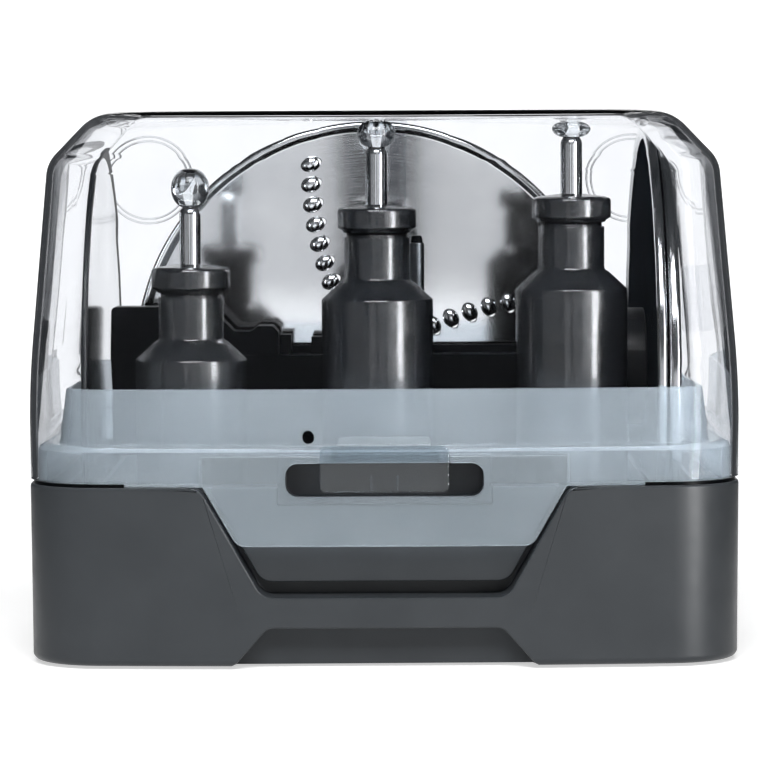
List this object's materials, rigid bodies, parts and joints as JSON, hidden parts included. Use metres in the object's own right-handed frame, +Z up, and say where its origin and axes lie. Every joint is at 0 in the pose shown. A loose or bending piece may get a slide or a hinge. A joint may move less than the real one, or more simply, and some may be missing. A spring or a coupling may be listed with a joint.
{
  "type": "food processor accessory storage case",
  "caption": "Lidded storage case with a dark base, a clear lift-off lid with a flexing latch tab, and upright blade hubs, slicing discs and a drive spindle inside.",
  "frame": {"origin": "centre of the case on the surface that its feet stand on", "axes": "+X to the right, -Y out of the front with the latch, +Z up"},
  "size_m": [0.288, 0.244, 0.223],
  "materials": {
    "base_plastic": "satin",
    "tray_plastic": "satin",
    "rack_plastic": "gloss",
    "frosted_plastic": "frosted",
    "clear_plastic": "clear polished",
    "hub_plastic": "semi gloss",
    "polished_steel": "mirror polished",
    "brushed_steel": "brushed",
    "disc_plastic": "semi gloss",
    "foot_rubber": "matt",
    "screw_steel": "zinc plated"
  },
  "bodies": {
    "base": {"base_shell": "base_plastic", "foot_pads": "foot_rubber", "base_screws": "screw_steel", "inner_tray": "tray_plastic", "disc_rack": "rack_plastic", "guard_collar": "frosted_plastic", "latch_cup": "tray_plastic", "mini_post": "tray_plastic", "dough_post": "tray_plastic", "quad_post": "tray_plastic"},
    "lid": {"lid_shell": "clear_plastic"},
    "latch": {"latch_tab": "clear_plastic"},
    "mini_blade": {"mini_hub": "hub_plastic", "mini_cap": "hub_plastic", "mini_pin": "polished_steel", "mini_knob": "clear_plastic", "mini_blades": "polished_steel"},
    "dough_blade": {"dough_hub": "hub_plastic", "dough_cap": "hub_plastic", "dough_pin": "polished_steel", "dough_knob": "clear_plastic", "dough_paddles": "hub_plastic"},
    "quad_blade": {"quad_hub": "hub_plastic", "quad_cap": "hub_plastic", "quad_pin": "polished_steel", "quad_knob": "clear_plastic", "quad_blades_low": "polished_steel", "quad_blades_high": "polished_steel"},
    "shredding_disc": {"shred_plate": "polished_steel", "shred_rim": "polished_steel", "shred_hub": "disc_plastic"},
    "slicing_disc": {"slice_plate": "polished_steel", "slice_rim": "disc_plastic", "slice_hub": "disc_plastic", "slice_blade": "brushed_steel"},
    "julienne_disc": {"julienne_plate": "disc_plastic", "julienne_rim": "polished_steel", "julienne_hub": "disc_plastic", "julienne_teeth": "brushed_steel"},
    "fine_disc": {"fine_plate": "polished_steel", "fine_rim": "polished_steel", "fine_hub": "disc_plastic"},
    "spindle": {"spindle_shaft": "brushed_steel", "spindle_cap": "disc_plastic", "spindle_coupler": "disc_plastic"}
  },
  "joints": [
    {"name": "lid_lift", "type": "slide", "parent": "base", "child": "lid", "axis": [0, 0, 1], "range_m": [0, 0.36]},
    {"name": "latch_flex", "type": "hinge", "parent": "lid", "child": "latch", "pos_m": [0, -0.1207, 0.089], "axis": [-1, 0, 0], "range_deg": [0, 12], "stiffness_Nm_per_rad": 0.05},
    {"name": "mini_blade_lift", "type": "slide", "parent": "base", "child": "mini_blade", "axis": [0, 0, 1], "range_m": [0, 0.18]},
    {"name": "dough_blade_lift", "type": "slide", "parent": "base", "child": "dough_blade", "axis": [0, 0, 1], "range_m": [0, 0.18]},
    {"name": "quad_blade_lift", "type": "slide", "parent": "base", "child": "quad_blade", "axis": [0, 0, 1], "range_m": [0, 0.18]},
    {"name": "shredding_disc_lift", "type": "slide", "parent": "base", "child": "shredding_disc", "axis": [0, 0, 1], "range_m": [0, 0.18]},
    {"name": "slicing_disc_lift", "type": "slide", "parent": "base", "child": "slicing_disc", "axis": [0, 0, 1], "range_m": [0, 0.18]},
    {"name": "julienne_disc_lift", "type": "slide", "parent": "base", "child": "julienne_disc", "axis": [0, 0, 1], "range_m": [0, 0.18]},
    {"name": "fine_disc_lift", "type": "slide", "parent": "base", "child": "fine_disc", "axis": [0, 0, 1], "range_m": [0, 0.18]},
    {"name": "spindle_lift", "type": "slide", "parent": "base", "child": "spindle", "axis": [0, 0, 1], "range_m": [0, 0.18]}
  ],
  "couplings": [
    {"joint": "mini_blade_lift", "follows": "lid_lift", "ratio": 0.5},
    {"joint": "dough_blade_lift", "follows": "lid_lift", "ratio": 0.5},
    {"joint": "quad_blade_lift", "follows": "lid_lift", "ratio": 0.5},
    {"joint": "shredding_disc_lift", "follows": "lid_lift", "ratio": 0.5},
    {"joint": "slicing_disc_lift", "follows": "lid_lift", "ratio": 0.5},
    {"joint": "julienne_disc_lift", "follows": "lid_lift", "ratio": 0.5},
    {"joint": "fine_disc_lift", "follows": "lid_lift", "ratio": 0.5},
    {"joint": "spindle_lift", "follows": "lid_lift", "ratio": 0.5}
  ]
}
